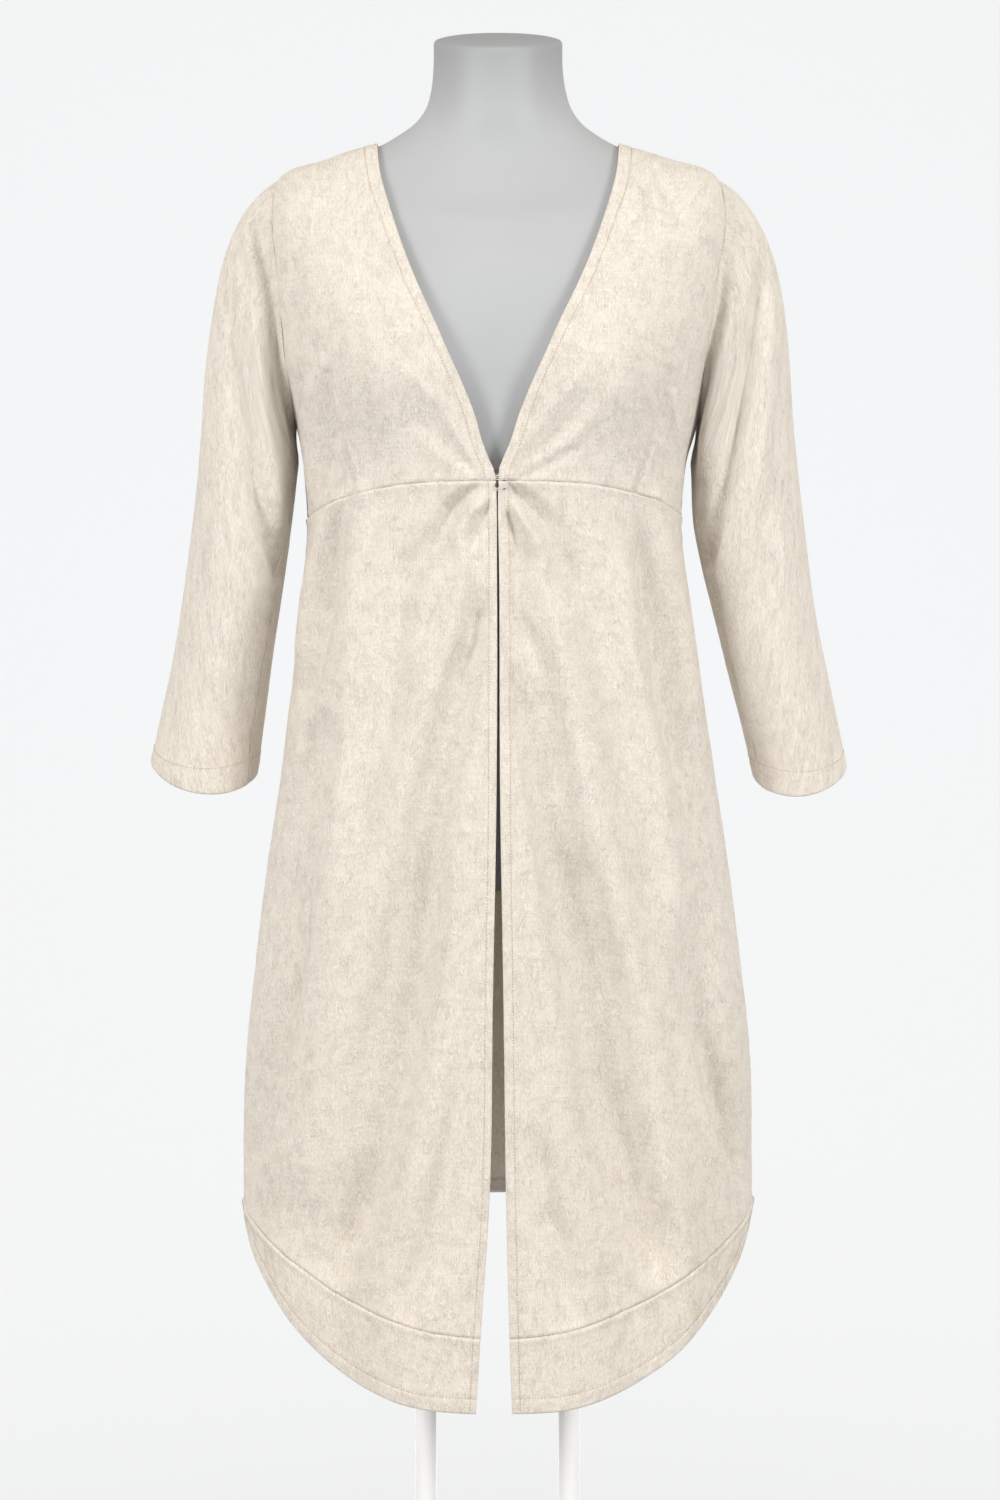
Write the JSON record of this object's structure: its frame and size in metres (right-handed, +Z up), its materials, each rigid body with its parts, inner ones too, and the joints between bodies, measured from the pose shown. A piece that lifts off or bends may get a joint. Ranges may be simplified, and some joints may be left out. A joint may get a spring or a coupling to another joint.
{
  "type": "duster coat on a dress form",
  "caption": "Knee-length cream linen duster coat with a deep V neck and curved hem, worn by a limbless dress form on a rod stand.",
  "frame": {"origin": "centre of the underside of the stand's base plate", "axes": "+X to the viewer's right, -Y towards the viewer of the coat's front, +Z up"},
  "size_m": [0.5853, 0.35, 1.5195],
  "materials": {
    "linen": "matte crinkled cream linen, plain weave",
    "form_grey": "matte grey, smooth",
    "hook_steel": "dark bronzed wire",
    "stand_white": "satin white powder coat"
  },
  "bodies": {
    "root": {"bodice_back": "linen", "bodice_front_left": "linen", "bodice_front_right": "linen", "eye_lower": "hook_steel", "eye_upper": "hook_steel", "form_torso": "form_grey", "hem_band_left": "linen", "hem_band_right": "linen", "hook_lower": "hook_steel", "hook_upper": "hook_steel", "skirt_back": "linen", "skirt_front_left": "linen", "skirt_front_right": "linen", "sleeve_left": "linen", "sleeve_right": "linen", "stand_base": "stand_white", "stand_rod_left": "stand_white", "stand_rod_right": "stand_white"}
  },
  "joints": []
}
